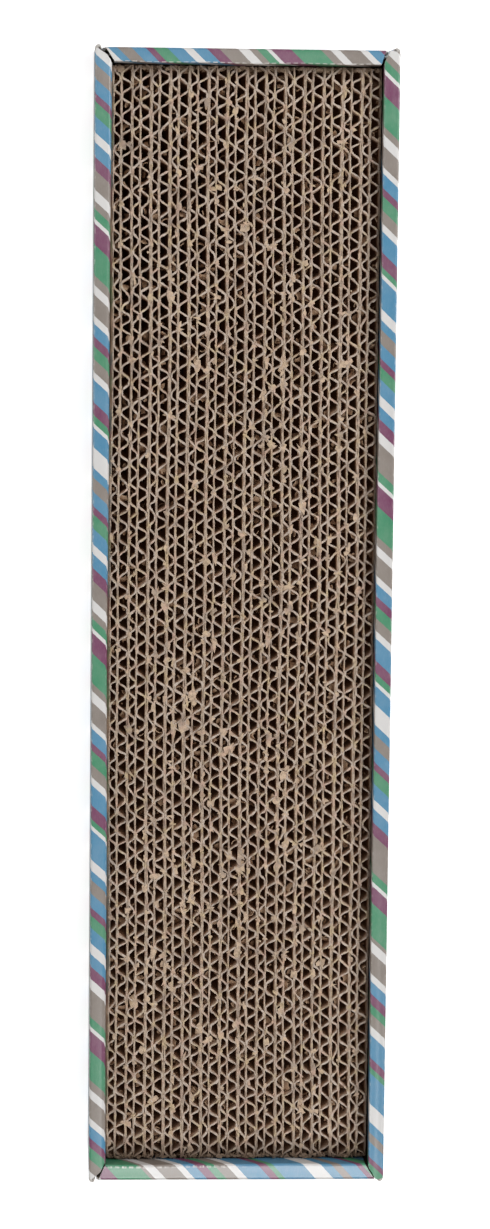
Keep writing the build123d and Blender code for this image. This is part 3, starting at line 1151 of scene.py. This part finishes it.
def makeTipFlake(first, index, clusters):
    firstFold, endFold = flakeLook["folds"]
    number, fold = chance.integers(1, stripCount + 1), chance.integers(firstFold, endFold)
    if index % 2:
        middleNumber, middleFold = clusters[chance.integers(len(clusters))]
        stripSpread, foldSpread = flakeLook["clusterSpread"]
        number = int(np.clip(round(chance.normal(middleNumber, stripSpread)), 1, stripCount))
        fold = int(np.clip(round(chance.normal(middleFold, foldSpread)), firstFold, endFold - 1))
    tipX, tipY = fluteTip(number, chance.choice(["fine", "coarse"]), fold)
    if index % 3 == 0:
        tipY = chance.uniform(firstLow.y + endClear, firstHigh.y - endClear)
    flake = copyPiece(first)
    spots = readPlaces(flake)
    count = len(spots)
    size = skewed(*flakeLook["size"]) * mm * flakeLook["scales"][index % 2]
    stretch = chance.uniform(*flakeLook["stretch"])
    reach = chance.uniform(*flakeLook["ragged"], count) * size
    across, along = flakeLook["astray"]
    x = tipX + chance.normal(0, across) * mm + spots[:, 0] * reach * (1.4 - 0.5 * stretch)
    y = tipY + chance.normal(0, along) * mm + spots[:, 1] * reach * stretch
    rise = flakeLook["rise"] - flakeLook["droop"] * reach * np.hypot(spots[:, 0], spots[:, 1]) ** 2
    tiltX, tiltY = chance.normal(0, flakeLook["tilt"], 2)
    tilted = (tiltX * spots[:, 0] + tiltY * spots[:, 1]) * reach
    z = padTop + rise + tilted + chance.normal(0, flakeLook["ruffle"], count)
    writePlaces(flake, np.column_stack([x + sway(x, y), y, np.minimum(z, padTop + padLook["topLimit"])]))
    return flake


def makeEndFlake(first, index):
    flake = copyPiece(first)
    spots = readPlaces(flake)
    count = len(spots)
    size = chance.uniform(*flakeLook["size"]) * mm * chance.uniform(*flakeLook["endRagged"], count)
    end = lastHigh.y if index % 2 else firstLow.y
    room, (pastFoot, pastHead) = flakeLook["sideRoom"], flakeLook["endLimits"]
    x = chance.uniform(firstLow.x + room, lastHigh.x - room) + spots[:, 0] * size
    inward = math.copysign(chance.uniform(*flakeLook["endReach"]) * mm, end)
    y = end - inward + spots[:, 1] * size * flakeLook["endStretch"]
    z = padTop - chance.uniform(*flakeLook["endSink"]) * mm + chance.normal(0, flakeLook["endRuffle"], count)
    y = np.clip(y, firstLow.y - pastFoot, lastHigh.y + pastHead)
    writePlaces(flake, np.column_stack([x + sway(x, y), y, z]))
    return flake


def makeFlakes():
    bpy.ops.object.select_all(action="DESELECT")
    bpy.ops.mesh.primitive_circle_add(vertices=flakeLook["corners"], radius=1, fill_type="TRIFAN")
    first = bpy.context.object
    clusters = [(chance.uniform(1, stripCount), chance.uniform(*flakeLook["clusterFolds"]))
                for index in range(flakeLook["clusters"])]
    flakes = [makeTipFlake(first, index, clusters) for index in range(flakeLook["count"])]
    flakes += [makeEndFlake(first, index) for index in range(flakeLook["endCount"])]
    finishTorn(flakes, "paperFlakes", first, flakeLook["thickness"])


def makeCurl(first, atEnd):
    number, ply = chance.integers(1, stripCount + 1), chance.choice(["fine", "coarse"])
    low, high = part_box(f"strip_{number:02d}_{ply}_flute")
    curl = copyPiece(first)
    spots = readPlaces(curl)
    length = chance.uniform(*curlLook["length"]) * mm
    bend = chance.uniform(-curlLook["bend"], curlLook["bend"])
    angle = chance.uniform(0, 2 * math.pi)
    along = angle + bend * spots[:, 0]
    radius = length / (abs(bend) + 0.4)
    astray = chance.normal(0, curlLook["astray"]) * mm
    x = radius * (np.sin(along) - math.sin(angle)) + (low.x + high.x) / 2 + astray
    sink = skewed(*curlLook["sink"]) * mm
    lean = chance.uniform(-1, 1) * curlLook["lean"] * mm * (spots[:, 1] - 0.5)
    middleY = chance.uniform(low.y + endClear, high.y - endClear)
    if atEnd:
        sink = chance.uniform(*curlLook["endSink"]) * mm
        atFoot, atHead = curlLook["endPlaces"]
        middleY = chance.choice([low.y + atFoot, high.y - atHead])
        middleY = middleY + chance.normal(0, curlLook["endAstray"]) * mm
    x = np.clip(x - lean * np.sin(along), low.x, high.x)
    y = radius * (math.cos(angle) - np.cos(along)) + middleY + lean * np.cos(along)
    y = np.clip(y, low.y - curlLook["endLimit"], high.y + curlLook["endLimit"])
    z = padTop - sink + (spots[:, 1] - 0.5) * curlLook["height"]
    z = z + chance.normal(0, curlLook["ruffle"], len(spots))
    writePlaces(curl, np.column_stack([x + sway(x, y), y, z]))
    return curl


def makeCurls():
    bpy.ops.object.select_all(action="DESELECT")
    bpy.ops.mesh.primitive_grid_add(x_subdivisions=4, y_subdivisions=1, size=1)
    first = bpy.context.object
    curls = [makeCurl(first, False) for index in range(curlLook["count"])]
    curls += [makeCurl(first, True) for index in range(curlLook["endCount"])]  # along the pad's ends
    finishTorn(curls, "paperCurls", first, curlLook["thickness"])


makeFlakes()
makeCurls()
print("torn paper strewn")


# Camera, floor and lights
cameraLook = {
    "lens": 100.66,
    "place": Vector((-83.69, 170.0, 1474.87)) * mm,
    "aim": Vector((1.7, 4.2, 50.0)) * mm,
    "upGuide": Vector((-0.010708, 1, 0)),
}
cameraData = bpy.data.cameras.new("photoCamera")
cameraData.lens = cameraLook["lens"]
cameraData.sensor_width = 36
camera = bpy.data.objects.new("photoCamera", cameraData)
bpy.context.scene.collection.objects.link(camera)
forward = (cameraLook["aim"] - cameraLook["place"]).normalized()
right = forward.cross(cameraLook["upGuide"]).normalized()
upward = right.cross(forward)
turned = Matrix((right, upward, -forward)).transposed().to_4x4()
camera.matrix_world = Matrix.Translation(cameraLook["place"]) @ turned
bpy.context.scene.camera = camera

studio = {
    "world": 0.27,
    "backdrop": 1.0,  # of the world, as the camera sees it
    "light": (1, 1, 1, 1),
    "floor": ink(250, 250, 250),
    "floorGlow": 0.58,
    "floorRoughness": 0.9,
    "floorSpecular": 0.1,
    "floorSize": 12,
    "lamps": {
        "keySoftbox": {"place": (1.05, 0.6, 1.1), "size": (0.6, 0.6), "power": 15.5},
        "footSoftbox": {"place": (0.16, -1.0, 1.5), "size": (0.6, 0.45), "power": 7.5},
        "leftSoftbox": {"place": (-1.2, 0.2, 1.2), "size": (0.8, 1.2), "power": 6.5},
        "headSheen": {"place": (0.1, 0.32, 1.75), "size": (0.3, 0.14), "power": 0.4},
        "rightSheen": {"place": (0.22, -0.6, 1.5), "size": (0.2, 0.3), "power": 0.6},
    },
}


def makeStudio():
    bpy.ops.object.select_all(action="DESELECT")
    bpy.ops.mesh.primitive_plane_add(size=studio["floorSize"])
    floor = bpy.context.object
    floor.name = "studioFloor"
    material, tree, shader = newMaterial("studioFloor")
    seen = addNode(tree, "ShaderNodeLightPath").outputs["Is Camera Ray"]
    feed(tree, shader, {
        "Base Color": studio["floor"],
        "Roughness": studio["floorRoughness"],
        "Specular IOR Level": studio["floorSpecular"],
        "Emission Color": studio["light"],
        "Emission Strength": timesNode(tree, seen, studio["floorGlow"]),
    })
    floor.data.materials.append(material)
    world = bpy.data.worlds.new("studioWorld")
    world.use_nodes = True
    sky = world.node_tree
    toCamera = addNode(sky, "ShaderNodeLightPath").outputs["Is Camera Ray"]
    strength = rangeNode(sky, toCamera, 0, 1, studio["world"], studio["backdrop"])
    feed(sky, sky.nodes["Background"], {"Color": studio["light"], "Strength": strength})
    bpy.context.scene.world = world
    for name, lamp in studio["lamps"].items():
        data = bpy.data.lights.new(name, "AREA")
        data.shape = "RECTANGLE"
        data.size, data.size_y = lamp["size"]
        data.energy = lamp["power"]
        place = Vector(lamp["place"])
        box = bpy.data.objects.new(name, data)
        box.location = place
        box.rotation_euler = (-place).to_track_quat("-Z", "Y").to_euler()
        bpy.context.scene.collection.objects.link(box)


makeStudio()
bpy.context.scene.view_settings.view_transform = "Standard"
print("studio lit")
